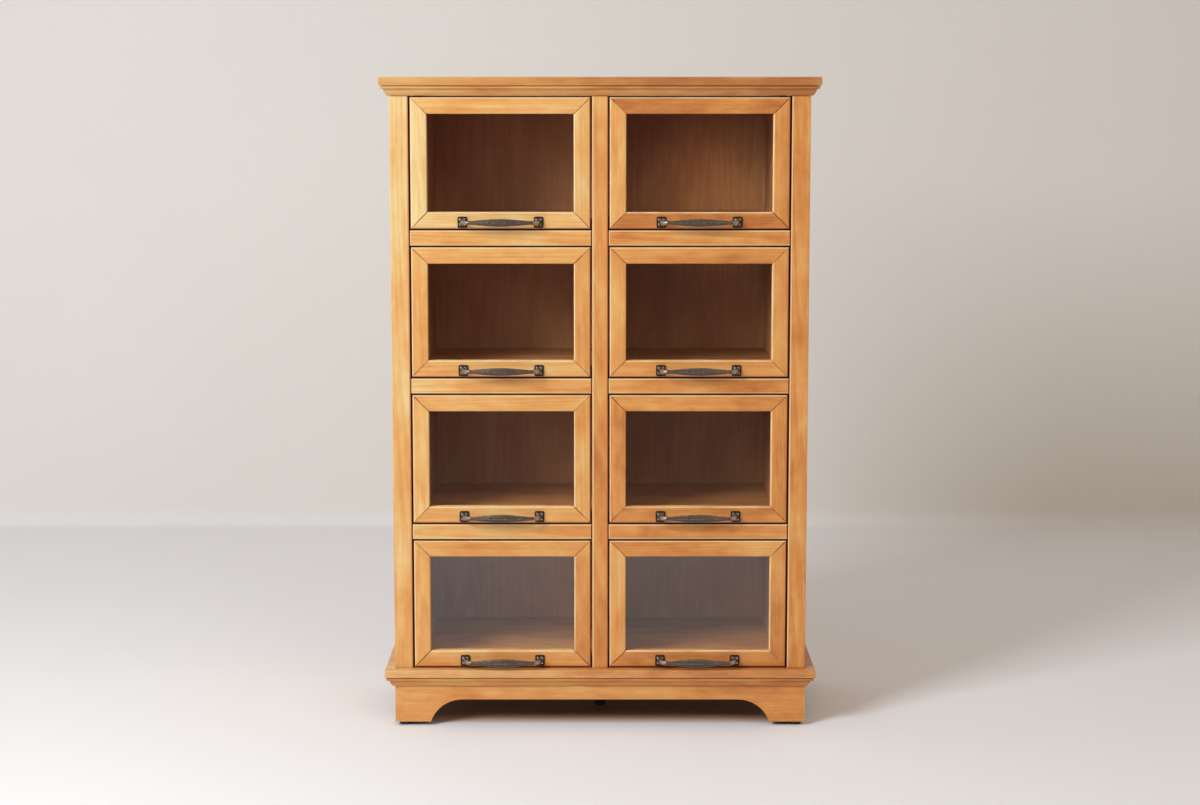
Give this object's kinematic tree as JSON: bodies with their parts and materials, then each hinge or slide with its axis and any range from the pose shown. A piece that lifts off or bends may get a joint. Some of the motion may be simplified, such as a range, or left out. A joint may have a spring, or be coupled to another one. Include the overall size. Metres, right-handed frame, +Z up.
{
  "type": "display cabinet",
  "caption": "Free-standing pine display cabinet with stacked glazed lift-up doors, bow pulls, moulded top and base, and an arched plinth on bracket feet.",
  "frame": {"origin": "on the floor, under the middle of the cabinet's whole box with its pulls", "axes": "+Z up, the doors face -Y, and +X is to the right of someone who faces the doors"},
  "size_m": [0.813, 0.3822, 1.2215],
  "materials": {
    "case_pine": "satin",
    "door_pine": "satin",
    "inner_pine": "matte",
    "pane_glass": "gloss",
    "pull_metal": "satin",
    "rod_steel": "satin",
    "foot_plastic": "matte"
  },
  "bodies": {
    "cabinet": {"top_board": "case_pine", "crown_moulding": "case_pine", "side_panel_left": "case_pine", "side_panel_right": "case_pine", "face_stile_left": "case_pine", "face_stile_centre": "case_pine", "face_stile_right": "case_pine", "face_rail_1": "case_pine", "face_rail_2": "case_pine", "face_rail_3": "case_pine", "base_board": "case_pine", "base_moulding": "case_pine", "front_apron": "case_pine", "side_apron_left": "case_pine", "side_apron_right": "case_pine", "rear_apron": "case_pine", "carcass_top": "inner_pine", "inner_wall_left": "inner_pine", "inner_wall_right": "inner_pine", "centre_partition": "inner_pine", "shelf_1": "inner_pine", "shelf_2": "inner_pine", "shelf_3": "inner_pine", "bottom_panel": "inner_pine", "back_panel": "inner_pine", "glide_front_left": "foot_plastic", "glide_front_right": "foot_plastic", "glide_rear_left": "foot_plastic", "glide_rear_right": "foot_plastic", "centre_foot": "foot_plastic", "pivot_rod_1": "rod_steel", "pivot_rod_2": "rod_steel", "pivot_rod_3": "rod_steel", "pivot_rod_4": "rod_steel"},
    "door_r1_left": {"door_frame_r1_left": "door_pine", "glass_r1_left": "pane_glass", "pull_r1_left": "pull_metal"},
    "door_r1_right": {"door_frame_r1_right": "door_pine", "glass_r1_right": "pane_glass", "pull_r1_right": "pull_metal"},
    "door_r2_left": {"door_frame_r2_left": "door_pine", "glass_r2_left": "pane_glass", "pull_r2_left": "pull_metal"},
    "door_r2_right": {"door_frame_r2_right": "door_pine", "glass_r2_right": "pane_glass", "pull_r2_right": "pull_metal"},
    "door_r3_left": {"door_frame_r3_left": "door_pine", "glass_r3_left": "pane_glass", "pull_r3_left": "pull_metal"},
    "door_r3_right": {"door_frame_r3_right": "door_pine", "glass_r3_right": "pane_glass", "pull_r3_right": "pull_metal"},
    "door_r4_left": {"door_frame_r4_left": "door_pine", "glass_r4_left": "pane_glass", "pull_r4_left": "pull_metal"},
    "door_r4_right": {"door_frame_r4_right": "door_pine", "glass_r4_right": "pane_glass", "pull_r4_right": "pull_metal"}
  },
  "joints": [
    {"name": "lift_r1_left", "type": "hinge", "parent": "cabinet", "child": "door_r1_left", "pos_m": [-0.184, -0.15338, 1.1775], "axis": [-1, 0, 0], "range_deg": [0, 90]},
    {"name": "lift_r1_right", "type": "hinge", "parent": "cabinet", "child": "door_r1_right", "pos_m": [0.184, -0.15338, 1.1775], "axis": [-1, 0, 0], "range_deg": [0, 90]},
    {"name": "lift_r2_left", "type": "hinge", "parent": "cabinet", "child": "door_r2_left", "pos_m": [-0.184, -0.15338, 0.9015], "axis": [-1, 0, 0], "range_deg": [0, 90]},
    {"name": "lift_r2_right", "type": "hinge", "parent": "cabinet", "child": "door_r2_right", "pos_m": [0.184, -0.15338, 0.9015], "axis": [-1, 0, 0], "range_deg": [0, 90]},
    {"name": "lift_r3_left", "type": "hinge", "parent": "cabinet", "child": "door_r3_left", "pos_m": [-0.184, -0.15338, 0.6255], "axis": [-1, 0, 0], "range_deg": [0, 90]},
    {"name": "lift_r3_right", "type": "hinge", "parent": "cabinet", "child": "door_r3_right", "pos_m": [0.184, -0.15338, 0.6255], "axis": [-1, 0, 0], "range_deg": [0, 90]},
    {"name": "lift_r4_left", "type": "hinge", "parent": "cabinet", "child": "door_r4_left", "pos_m": [-0.184, -0.15338, 0.3495], "axis": [-1, 0, 0], "range_deg": [0, 90]},
    {"name": "lift_r4_right", "type": "hinge", "parent": "cabinet", "child": "door_r4_right", "pos_m": [0.184, -0.15338, 0.3495], "axis": [-1, 0, 0], "range_deg": [0, 90]}
  ]
}
